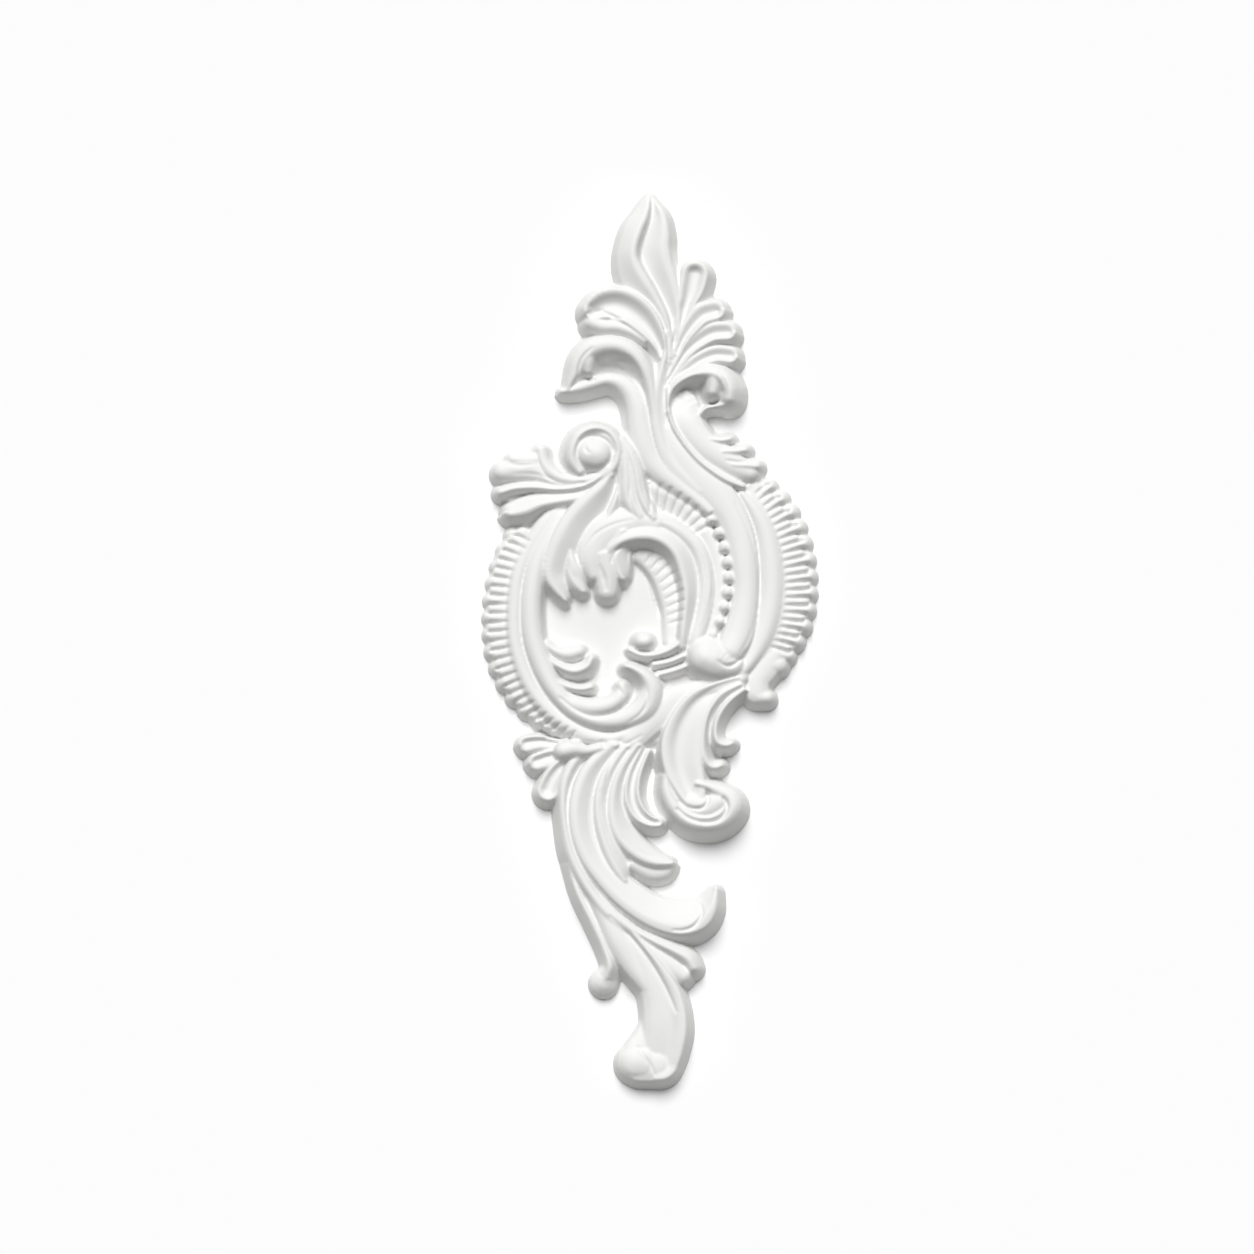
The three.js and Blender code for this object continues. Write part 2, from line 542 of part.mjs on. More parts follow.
const onSheet = (place, rise) => new THREE.Vector3(
  ...toFrame(place.x, place.y, rise * onePercent));

for (const { count, radius, innerRise, outerRise, inner, outer } of flutes) {
  for (let i = 0; i < count; i += 1) {
    const t = i / (count - 1);
    const from = onSheet(sheetLine(inner).getPointAt(t), innerRise);
    const to = onSheet(sheetLine(outer).getPointAt(t), outerRise);
    body = body.subtract(toSolid(fluteCutter(from, to, radius)));
  }
}

// Pearls along the inside of the large ring, smaller towards both ends.
const pearls = {
  count: 10, radius: 6.4, endRadius: 5, rise: 40,
  line: [[706, 512], [718, 535], [727, 563], [727, 593], [720, 618], [713, 634]],
};
for (let i = 0; i < pearls.count; i += 1) {
  const t = i / (pearls.count - 1);
  const bulge = Math.sin(Math.PI * t);
  const radius = THREE.MathUtils.lerp(pearls.endRadius, pearls.radius, bulge) * square;
  const pearl = new THREE.OctahedronGeometry(radius, 0);
  pearl.translate(...onSheet(sheetLine(pearls.line).getPointAt(t), pearls.rise).toArray());
  body = body.add(toSolid(pearl));
}

const behind = new THREE.BoxGeometry(2 * overallHeight, 4 * backSink, 2 * overallHeight);
behind.translate(0, 2 * backSink, 0);
body = body.subtract(toSolid(behind));

const toMesh = (solid, name, material) => {
  const { vertProperties, triVerts } = solid.getMesh();
  const geometry = new THREE.BufferGeometry();
  geometry.setAttribute("position", new THREE.BufferAttribute(new Float32Array(vertProperties), 3));
  geometry.setIndex(new THREE.BufferAttribute(new Uint32Array(triVerts), 1));
  geometry.computeVertexNormals();
  const mesh = new THREE.Mesh(geometry, material);
  mesh.name = name;
  return mesh;
};

const primedWhite = new THREE.MeshStandardMaterial({ color: 0xf1f1ef, roughness: 0.62, metalness: 0 });

const ornament = new THREE.Group();
ornament.name = "rocaille_ornament";
ornament.add(toMesh(body, "rocaille_applique", primedWhite));

export default ornament;
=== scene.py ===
import math
import bmesh
import bpy
from mathutils import Matrix, Vector


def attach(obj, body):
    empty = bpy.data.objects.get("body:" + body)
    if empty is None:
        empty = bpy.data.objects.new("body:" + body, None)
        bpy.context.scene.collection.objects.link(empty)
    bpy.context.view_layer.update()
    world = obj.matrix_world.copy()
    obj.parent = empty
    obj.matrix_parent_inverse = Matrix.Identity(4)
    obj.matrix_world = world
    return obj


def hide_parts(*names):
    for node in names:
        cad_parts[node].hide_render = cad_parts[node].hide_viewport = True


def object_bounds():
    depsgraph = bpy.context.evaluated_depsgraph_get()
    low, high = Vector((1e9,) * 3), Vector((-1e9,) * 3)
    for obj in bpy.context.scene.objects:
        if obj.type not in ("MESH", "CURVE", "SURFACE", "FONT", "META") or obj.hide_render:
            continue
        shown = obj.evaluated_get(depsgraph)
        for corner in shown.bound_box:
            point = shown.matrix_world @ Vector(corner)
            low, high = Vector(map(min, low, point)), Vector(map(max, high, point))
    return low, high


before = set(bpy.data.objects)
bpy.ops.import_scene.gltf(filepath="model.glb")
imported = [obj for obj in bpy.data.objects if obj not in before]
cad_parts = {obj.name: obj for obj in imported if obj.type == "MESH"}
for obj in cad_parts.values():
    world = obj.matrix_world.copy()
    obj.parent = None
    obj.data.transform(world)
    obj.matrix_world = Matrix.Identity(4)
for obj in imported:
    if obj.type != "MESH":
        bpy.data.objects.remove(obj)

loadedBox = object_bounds()

# The drawing sheet: 898 squares from the lowest curl to the tip of the crown leaf, x to the
# right, y down, drawn from slightly below. The frame is in metres: back at Y = 0, carving at -Y.
sheet = {"overallHeight": 0.600, "squaresHigh": 898, "middleX": 650, "middleY": 640, "viewSlope": 0.18}
upright = math.hypot(1, sheet["viewSlope"])        # looked at from below, upright lengths shrink
square = sheet["overallHeight"] / sheet["squaresHigh"] / upright

applique = {
    "reliefDepth": 0.032,      # what a rise of 100 stands for
    "wallDraft": 0.33,         # how far a wall leans out for each step it goes back
    "backSink": 0.006,         # the walls run on behind the back before it is cut flat
    "gridCell": 0.00095,
    "gridMargin": 0.010,
    "spineStep": 4,            # squares between stations along a stroke or vein
    "fineStep": 1.5,           # the same, where places are spaced evenly along a line
    "profileSteps": 40,        # how finely a profile is read across a stroke
    "leastHalf": 0.3,          # a stroke's narrowest half width, in squares
    "spare": 2,                # squares looked at beyond the reach of a form
    "tallestShift": 8,         # squares by which a high form shows above its foot
    "smoothRounds": 1,
    "smoothFactor": 0.4,
}
grooves = {"roundness": 1.5, "fluteStart": 0.6, "fluteEnd": 1.1, "veinEnds": 0.5}

# Height across a stroke as a share of its rise, from the right hand of someone walking along
# it to the left hand.
profiles = {
    "dome": [0.58, 0.88, 1, 0.88, 0.58],
    "ball": [0.45, 0.8, 0.95, 1, 0.95, 0.8, 0.45],
    "button": [0.66, 0.88, 0.97, 1, 0.97, 0.88, 0.66],
    "soft": [0.86, 0.97, 1, 0.97, 0.86],
    "flat": [1, 1, 1],
    "cup": [0.97, 0.93, 0.76, 0.72, 0.76, 0.93, 0.97],
    "rightHigh": [0.97, 1, 0.9, 0.76, 0.62],
    "leftHigh": [0.62, 0.76, 0.9, 1, 0.97],
    "rightRise": [0.94, 1, 0.92, 0.8, 0.68],
    "fold": [0.95, 0.8, 0.73, 0.74, 0.84, 0.97, 1],
    "rightLip": [0.97, 0.93, 0.79, 0.78, 0.84, 0.9, 0.9],
    "leftLip": [0.88, 0.9, 0.85, 0.78, 0.77, 0.93, 0.97],
    "leftBand": [0.68, 0.8, 0.84, 0.84, 0.85, 0.95, 0.98],
    "rimOnRight": [1, 0.97, 0.94, 0.91, 0.88],
    "rimOnLeft": [0.88, 0.91, 0.94, 0.97, 1],
}

# A stroke is one sweep of the carver: profile, round ends, rows of [x, y, half width, rise].
strokes = {
    "crown": [
      ("leftHigh", "", [
        [648, 191.8, 1, 24], [646, 200, 4, 44], [641, 213, 7, 56], [633, 228, 9, 62], [628, 244, 9, 65],
        [627, 258, 10, 66], [631, 272, 12, 66], [640, 287, 12, 65], [651, 301, 9, 62],
        [662, 318, 6, 60], [668, 338, 4, 57], [669, 358, 2, 54],
      ]),
      ("leftHigh", "", [
        [651, 193, 1, 22], [655, 203, 3, 40], [658, 216, 8, 50], [657, 232, 12, 55], [655, 248, 14, 57],
        [658, 264, 14, 57], [665, 280, 12, 56], [671, 297, 9, 55], [675, 315, 6, 54],
        [676, 335, 4, 53], [674, 355, 2, 52],
      ]),
      ("cup", "start", [
        [695, 273, 13, 57], [692, 287, 12, 57], [687, 303, 8, 56], [681, 320, 6, 55],
        [676, 340, 4, 53], [670, 362, 2, 52],
      ]),
      ("fold", "start", [
        [594, 308, 10, 60], [604, 303, 14, 64], [618, 302, 15, 66], [632, 308, 15, 67],
        [645, 319, 13, 66], [655, 333, 9, 64], [661, 347, 5, 60], [665, 362, 2, 56],
      ]),
      ("soft", "start", [
        [592, 321, 7, 57], [603, 325, 7, 60], [617, 326, 6, 60], [631, 331, 5, 58], [646, 341, 3, 55],
      ]),
    ],

    "leftLeaf": [
      ("soft", "", [
        [567, 390, 2, 46], [574, 374, 5, 56], [581, 359, 8, 62], [591, 348, 9, 66], [605, 344, 8.5, 68],
        [620, 345, 8, 70], [634, 353, 8, 70], [644, 367, 7, 68], [650, 384, 6, 64],
        [653, 404, 5, 60], [655, 426, 4, 56], [657, 446, 3, 52],
      ]),
      ("soft", "end", [[590, 352, 6, 62], [588, 362, 6, 60], [588, 369, 5, 55]]),
      ("soft", "", [
        [561, 391, 2, 44], [576, 388, 4.5, 47], [592, 383, 5.5, 49], [607, 379, 6, 50],
        [620, 382, 7.5, 51], [631, 392, 9, 53], [637, 406, 10, 55], [640, 424, 11, 56],
        [644, 442, 12, 56], [651, 458, 12, 55], [663, 472, 11, 55], [680, 486, 9, 55], [697, 499, 7, 55],
        [711, 512, 5, 55],
      ]),
    ],

    "rightFingers": [
      ("leftLip", "start", [
        [715, 309, 10, 58], [702, 313, 10, 61], [691, 325, 8, 61], [682, 340, 5, 59],
        [675, 356, 4, 57], [667, 374, 2, 54],
      ]),
      ("leftLip", "start", [
        [727, 330, 9, 58], [713, 331, 9, 61], [699, 339, 8, 61], [687, 350, 6, 59],
        [677, 364, 4, 57], [667, 382, 2, 54],
      ]),
      ("leftLip", "start", [
        [730, 354, 8, 57], [716, 353, 8, 60], [702, 358, 7, 60], [689, 367, 6, 59], [677, 380, 4, 56],
        [667, 396, 2, 54],
      ]),
      ("dome", "end", [
        [668, 412, 3, 60], [669, 400, 3, 61], [672, 389, 4, 63], [681, 380, 6, 67], [694, 374, 7, 71],
        [709, 372, 10, 75], [723, 377, 11, 79], [730, 388, 11, 80], [730, 397, 11, 77],
      ]),
      ("soft", "end", [[714, 373, 7, 74], [714, 382, 7, 72], [713, 390, 6, 70]]),
      ("dome", "both", [[701, 413, 4, 48], [706, 408, 3, 50], [716, 406, 3, 52], [729, 403, 6, 64]]),
    ],

    "rightFrond": [
      ("soft", "", [
        [677, 392, 6, 28], [684, 405, 14, 44], [686, 418, 14, 52], [694, 432, 13, 55],
        [706, 446, 13, 56], [722, 457, 13, 56], [738, 467, 11, 55], [752, 473, 7, 52],
      ]),
      ("dome", "", [
        [667, 386, 3, 63], [668, 406, 3, 62], [673, 425, 3, 62], [684, 443, 3, 61], [698, 459, 4, 60],
        [713, 471, 5, 60], [728, 480, 6, 58], [745, 487, 4, 53],
      ]),
      ("dome", "end", [[708, 438, 4, 54], [720, 440, 5, 57], [730, 439, 5, 55]]),
      ("dome", "end", [[722, 451, 5, 58], [735, 451, 6, 57], [745, 450, 6, 54]]),
      ("dome", "end", [[732, 464, 6, 58], [746, 465, 7, 57], [757, 466, 6, 53]]),
    ],

    "volute": [
      ("soft", "", [
        [590, 478, 4, 60], [604, 475, 5, 62], [615, 464, 5, 64], [618, 448, 6, 66], [609, 434, 6, 70],
        [594, 428, 5, 72], [580, 434, 5, 73], [573, 447, 5, 73], [573, 461, 6, 70], [581, 473, 5, 64],
      ]),
      ("button", "both", [[591, 452, 18, 78], [596, 453, 18, 78]]),
      ("soft", "", [
        [613, 438, 5, 62], [623, 454, 8, 62], [627, 472, 9, 62], [628, 489, 9, 61],
        [632, 504, 8, 60], [641, 517, 6, 58],
      ]),
      ("soft", "", [
        [620, 438, 4, 60], [631, 454, 6, 62], [637, 472, 6, 62], [640, 490, 6, 61],
        [646, 506, 6, 60], [655, 519, 4, 58],
      ]),
      ("rightHigh", "", [
        [613, 476, 5, 62], [606, 490, 10, 63], [593, 505, 14, 63], [579, 522, 16, 62],
        [569, 539, 16, 61], [561, 556, 15, 58], [556, 572, 12, 55], [560, 586, 8, 52], [567, 599, 3, 48],
      ]),
      ("soft", "", [[570, 550, 2, 50], [573, 569, 7, 54], [577, 582, 7, 52], [584, 592, 3, 48]]),
      ("rightRise", "", [
        [623, 476, 3, 58], [621, 492, 5, 57], [616, 507, 6, 56], [609, 521, 5, 54],
      ]),
      ("soft", "end", [[603, 552, 10, 59], [606, 570, 11, 56], [607, 583, 10, 53], [607, 590, 9, 51]]),
      ("rightRise", "", [
        [626, 532, 8, 62], [620, 546, 10, 59], [620, 558, 10, 56], [622, 569, 8, 53], [624, 576, 5, 50],
      ]),
    ],

    "leftFronds": [
      ("soft", "start", [
        [541, 450, 5, 53], [543, 461, 6, 55], [550, 471, 6, 57], [562, 478, 5, 59], [577, 480, 4, 60],
        [592, 479, 4, 60],
      ]),
      ("soft", "start", [[513, 459, 5, 50], [524, 460, 6, 51], [537, 460, 7, 53]]),
      ("soft", "start", [
        [503, 471, 8, 49], [516, 469, 10, 52], [532, 468, 11, 54], [547, 475, 9, 56],
        [562, 482, 5, 58], [580, 485, 3, 60],
      ]),
      ("dome", "start", [
        [501, 492, 6, 52], [515, 488, 6, 55], [535, 487, 6, 57], [556, 489, 5, 59], [578, 487, 5, 61],
        [597, 479, 5, 63], [609, 466, 4, 64],
      ]),
      ("rightRise", "start", [
        [511, 510, 7, 54], [524, 506, 9, 57], [540, 500, 8, 58], [560, 497, 7, 59], [580, 494, 6, 60],
        [598, 486, 5, 61], [611, 471, 4, 62],
      ]),
    ],

    "ringRight": [
      ("rightHigh", "", [
        [668, 330, 3, 57], [668, 350, 4, 58], [665, 370, 6, 59], [662, 392, 9, 59], [662, 414, 11, 58],
        [666, 434, 12, 57], [674, 452, 14, 56], [688, 468, 15, 55], [704, 484, 14, 54],
      ]),
      ("soft", "end", [
        [664, 428, 10, 52], [676, 452, 15, 54], [692, 472, 18, 54], [712, 490, 18, 55],
        [729, 511, 15, 56], [739, 534, 14, 57], [744, 560, 13, 58], [746, 588, 12, 58],
        [743, 614, 13, 60], [738, 634, 14, 63], [731, 649, 13, 68],
      ]),
      ("ball", "both", [[706, 657, 22, 80], [716, 661, 22, 78], [731, 664, 17, 66]]),
      ("soft", "", [
        [741, 492, 4, 45], [756, 512, 7, 48], [766, 534, 9, 49], [771, 560, 10, 50],
        [772, 588, 10, 50], [769, 614, 10, 50], [762, 638, 9, 50], [752, 658, 7, 50],
        [740, 674, 5, 50], [728, 686, 3, 48],
      ]),
      ("rimOnRight", "", [
        [752, 486, 6, 38], [767, 503, 10, 40], [781, 530, 12, 40], [791, 558, 13, 40],
        [795, 586, 14, 40], [791, 614, 13, 40], [782, 638, 12, 40], [771, 659, 9, 40],
      ]),
      ("soft", "end", [[778, 650, 9, 39], [766, 666, 13, 41], [758, 680, 11, 42], [757, 692, 11, 42]]),
      ("soft", "end", [[757, 696, 7, 42], [767, 697, 6, 42]]),
      ("soft", "end", [[766, 664, 8, 40], [778, 664, 8, 40]]),
    ],

    "ringLeft": [
      ("rimOnLeft", "", [
        [524, 533, 7, 38], [512, 552, 11, 38], [505, 576, 11, 38], [501, 602, 11, 38],
        [500, 628, 11, 38], [503, 652, 10, 38], [510, 674, 9, 38], [521, 693, 8, 37],
        [535, 710, 7, 36], [553, 724, 6, 35], [573, 733, 5, 34], [594, 738, 3, 32],
      ]),
      ("soft", "", [
        [561, 505, 6, 46], [545, 525, 8, 47], [529, 549, 8, 47], [518, 576, 7, 47], [514, 606, 7, 47],
        [514, 636, 7, 47], [520, 663, 7, 47], [531, 688, 7, 47], [547, 709, 7, 47],
        [567, 725, 7, 47], [590, 736, 7, 47], [614, 738, 6, 47], [636, 729, 5, 48],
      ]),
      ("soft", "end", [
        [562, 515, 8, 50], [548, 540, 10, 53], [537, 565, 9, 55], [532, 590, 9, 56],
        [531, 615, 9, 56], [534, 641, 9, 56], [543, 667, 9, 56],
        [556, 691, 8, 57], [575, 710, 8, 58], [600, 720, 8, 59], [624, 718, 9, 60], [644, 707, 11, 62],
        [652, 690, 9, 63], [646, 677, 6, 63], [635, 669, 4, 62], [626, 666, 3, 60],
      ]),
    ],

    "innerFronds": [
      ("soft", "end", [[545, 642, 3, 44], [554, 650, 4, 46], [567, 654, 6, 48], [579, 651, 6, 48]]),
      ("dome", "end", [
        [545, 655, 4, 48], [557, 665, 5, 52], [573, 671, 7, 55], [586, 667, 7, 56], [591, 659, 6, 54],
      ]),
      ("dome", "end", [
        [543, 664, 4, 50], [552, 677, 4, 52], [566, 686, 5, 53], [581, 689, 5, 54], [591, 687, 5, 52],
      ]),
      ("soft", "end", [
        [551, 684, 5, 50], [566, 699, 7, 54], [588, 707, 8, 60], [608, 705, 8, 62], [621, 696, 7, 61],
        [622, 686, 5, 58],
      ]),
    ],

    "innerShell": [
      ("leftHigh", "", [
        [646, 492, 12, 42], [661, 499, 13, 42], [676, 508, 14, 42], [690, 522, 14, 42],
        [702, 541, 14, 42], [711, 565, 14, 42], [713, 590, 14, 42], [708, 615, 14, 42], [701, 634, 12, 42],
      ]),
      ("soft", "", [
        [640, 517, 5, 54], [662, 521, 7, 54], [682, 532, 7, 54], [697, 547, 7, 53],
        [705, 567, 7, 52], [707, 590, 7, 52], [703, 616, 7, 52], [697, 636, 7, 52], [694, 648, 5, 50],
      ]),
      ("soft", "", [
        [594, 576, 6, 51], [592, 558, 13, 56], [599, 541, 16, 58], [613, 528, 16, 59],
        [636, 521, 12, 57], [658, 524, 8, 54],
      ]),
      ("rightHigh", "", [
        [601, 563, 2, 50], [607, 546, 7, 60], [619, 536, 9, 65], [635, 531, 9, 67],
        [653, 531, 9, 68], [669, 538, 9, 68], [681, 551, 9, 67],
        [688, 570, 9, 65], [691, 592, 8, 63], [689, 614, 7, 60], [686, 636, 6, 57], [684, 647, 4, 52],
      ]),
      ("soft", "", [
        [637, 556, 5, 29], [650, 561, 9, 30], [662, 573, 11, 31], [669, 590, 11, 32],
        [673, 609, 10, 32], [672, 627, 8, 32], [669, 643, 5, 32],
      ]),
      ("button", "both", [[642, 641, 9, 60], [645, 641, 9, 60]]),
      ("dome", "both", [
        [629, 650, 3, 44], [641, 655, 4, 47], [655, 655, 4, 49], [669, 650, 5, 51], [681, 642, 5, 52],
      ]),
      ("dome", "", [[652, 665, 4, 42], [669, 662, 4, 45], [686, 655, 4, 47]]),
      ("dome", "", [[657, 675, 4, 40], [673, 671, 4, 43], [689, 665, 4, 45]]),
    ],

    # The low ground that ties the carving together.
    "ground": [
      ("flat", "both", [[597, 600, 54, 11], [606, 636, 56, 11], [642, 664, 42, 11], [684, 668, 20, 14]]),
      ("flat", "both", [[632, 502, 14, 28], [664, 534, 16, 28], [687, 574, 18, 28], [696, 634, 20, 28]]),
      ("flat", "both", [[600, 364, 9, 12], [622, 372, 12, 14], [640, 400, 14, 30], [646, 450, 20, 32]]),
      ("flat", "both", [[689, 387, 10, 14], [704, 398, 12, 16]]),
      ("flat", "both", [[514, 490, 12, 26], [560, 488, 16, 28], [600, 500, 16, 30]]),
      ("flat", "both", [[548, 752, 10, 24], [580, 748, 14, 26], [640, 734, 14, 26], [700, 700, 14, 26]]),
    ],

    "saddle": [
      ("soft", "", [
        [744, 676, 6, 50], [722, 686, 7, 50], [698, 691, 10, 48], [672, 702, 14, 48],
        [650, 720, 14, 49], [630, 740, 13, 50],
      ]),
    ],

    "palmette": [
      ("leftLip", "start", [[527, 744, 8, 40], [540, 742, 7, 42], [556, 744, 5, 43], [572, 746, 3, 43]]),
      ("leftLip", "start", [[537, 762, 8, 41], [549, 758, 8, 43], [562, 754, 5, 45], [576, 750, 3, 45]]),
      ("cup", "start", [[548, 790, 10, 43], [553, 778, 9, 45], [562, 766, 7, 47], [576, 756, 4, 47]]),
      ("soft", "start", [[564, 750, 8, 64], [574, 748, 8, 64], [587, 750, 6, 60], [603, 747, 4, 55]]),
    ],

    "acanthus": [
      ("rightLip", "end", [
        [741, 681, 5, 56], [717, 691, 9, 58], [699, 704, 14, 60], [687, 723, 17, 60],
        [682, 744, 20, 60], [683, 764, 19, 60], [688, 780, 16, 60], [692, 791, 13, 61],
      ]),
      ("dome", "end", [
        [746, 688, 4, 54], [729, 701, 5, 55], [718, 717, 5, 56], [715, 732, 5, 56], [718, 742, 6, 55],
        [726, 745, 5, 53], [732, 743, 4, 50],
      ]),
      ("dome", "end", [
        [741, 684, 4, 56], [720, 695, 5, 57], [708, 713, 5, 58], [703, 734, 6, 57], [703, 752, 7, 56],
        [708, 764, 6, 54], [715, 767, 6, 52], [721, 765, 5, 50],
      ]),
      ("soft", "end", [
        [665, 774, 3, 55], [667, 791, 6, 58], [675, 807, 7, 60], [690, 819, 8, 62],
        [708, 822, 8, 64], [723, 817, 9, 65], [732, 806, 9, 66], [729, 796, 8, 64], [716, 789, 6, 61],
        [706, 785, 4, 60], [697, 783, 3, 60],
      ]),
      ("soft", "both", [[690, 803, 9, 60], [706, 807, 11, 61], [719, 801, 9, 62]]),
    ],

    "tail": [
      ("soft", "", [
        [600, 742, 5, 50], [578, 757, 5, 52], [566, 778, 5, 55], [563, 802, 4, 57], [565, 826, 4, 57],
        [570, 850, 5, 57], [580, 873, 5, 57], [593, 894, 5, 57], [608, 912, 6, 57],
        [624, 925, 5, 55], [640, 936, 3, 52],
      ]),
      ("soft", "", [
        [574, 858, 2, 48], [588, 886, 5, 50], [603, 912, 8, 52], [617, 938, 11, 53], [632, 961, 11, 50],
        [648, 985, 8, 47], [656, 1008, 4, 40],
      ]),
      ("leftBand", "end", [
        [578, 870, 2, 53], [591, 891, 4, 55], [606, 909, 6, 56], [623, 930, 8, 57], [640, 953, 10, 58],
        [653, 976, 15, 58], [662, 998, 19, 57], [665, 1022, 21, 55], [663, 1043, 20, 50],
        [659, 1059, 19, 44],
      ]),
      ("button", "both", [[636, 1060, 18, 48], [641, 1060, 18, 47]]),
      ("soft", "both", [[640, 1063, 16, 42], [656, 1063, 16, 43]]),
      ("soft", "end", [[655, 1008, 7, 30], [647, 1032, 10, 34], [637, 1050, 12, 40]]),
      ("rightHigh", "", [
        [616, 748, 9, 52], [594, 772, 12, 56], [584, 800, 13, 59], [584, 826, 13, 60],
        [592, 851, 13, 60], [607, 873, 13, 60], [627, 893, 14, 60], [651, 909, 15, 60],
        [675, 916, 17, 60], [694, 914, 16, 60], [705, 906, 11, 60], [710, 897, 7, 58], [714, 888, 3, 54],
      ]),
      ("rightHigh", "", [
        [628, 748, 7, 51], [611, 775, 9, 54], [604, 800, 9, 55], [607, 825, 10, 56],
        [614, 848, 10, 56], [621, 866, 8, 54], [626, 879, 3, 50],
      ]),
      ("rightHigh", "", [
        [640, 746, 5, 50], [624, 772, 7, 52], [617, 800, 8, 53], [621, 825, 10, 54],
        [634, 844, 10, 54], [652, 856, 8, 52], [672, 861, 3, 48],
      ]),
      ("cup", "", [
        [646, 748, 4, 47], [635, 772, 6, 50], [632, 794, 7, 51], [638, 811, 7, 50], [649, 820, 5, 48],
        [660, 822, 3, 45],
      ]),
      ("soft", "", [[630, 862, 5, 40], [650, 870, 8, 38], [664, 870, 7, 36], [672, 865, 4, 34]]),
      ("dome", "end", [
        [620, 916, 3, 54], [638, 931, 5, 56], [656, 941, 7, 56], [673, 949, 8, 55], [687, 957, 9, 53],
        [693, 966, 8, 50],
      ]),
      ("soft", "end", [[640, 938, 4, 50], [656, 953, 7, 49], [672, 966, 8, 47], [683, 974, 7, 45]]),
      ("dome", "end", [
        [568, 862, 4, 44], [578, 892, 5, 47], [592, 920, 6, 48], [604, 946, 6, 48],
        [610, 966, 7, 49], [604, 981, 13, 34],
      ]),
    ],
}

# The scalloped edge of the two side rims: short lobes from an inner line out to their tips.
rimLobes = [
    {"count": 12, "half": 8.2, "rise": 38,
     "inner": [[762, 492], [776, 513], [787, 540], [793, 570], [793, 600], [786, 628], [775, 651]],
     "tips": [[775, 482], [794, 503], [808, 533], [815, 567], [815, 602], [808, 633], [794, 658]]},
    {"count": 15, "half": 7.6, "rise": 36,
     "inner": [[520, 541], [507, 566], [501, 594], [499, 622], [502, 650], [511, 676], [526, 699],
               [547, 717], [572, 730]],
     "tips": [[507, 531], [494, 558], [486, 591], [484, 622], [487, 655], [498, 684], [515, 708],
              [540, 728], [568, 740]]},
]

# Flutes cut at even steps from an inner line to an outer one, in squares.
flutes = [
    {"count": 23, "half": 2.3, "depth": 5.0,
     "inner": [[757, 493], [770, 515], [781, 543], [786, 574], [786, 603], [780, 630], [772, 647]],
     "outer": [[770, 482], [788, 504], [802, 534], [808, 567], [808, 601], [801, 628], [789, 652]]},
    {"count": 27, "half": 2.3, "depth": 4.8,
     "inner": [[529, 541], [514, 566], [508, 594], [507, 622], [510, 650], [518, 676], [532, 699],
               [551, 717], [575, 731]],
     "outer": [[512, 533], [499, 560], [491, 592], [489, 622], [492, 653], [502, 680], [518, 703],
               [542, 722], [570, 737]]},
    {"count": 8, "half": 2.6, "depth": 2.6,
     "inner": [[650, 514], [658, 512], [667, 513], [676, 518], [685, 525], [694, 534]],
     "outer": [[650, 482], [662, 484], [675, 490], [688, 499], [700, 510], [711, 524]]},
    {"count": 9, "half": 1.9, "depth": 2.6,
     "inner": [[646, 563], [656, 575], [663, 590], [667, 606], [669, 624]],
     "outer": [[654, 551], [668, 561], [679, 578], [683, 600], [681, 620]]},
]

pearls = {"count": 10, "radius": 6.2, "endRadius": 4.4, "rise": 44, "bulge": 0.8,
          "line": [[703, 508], [719, 534], [728, 562], [728, 594], [721, 620], [713, 635]]}

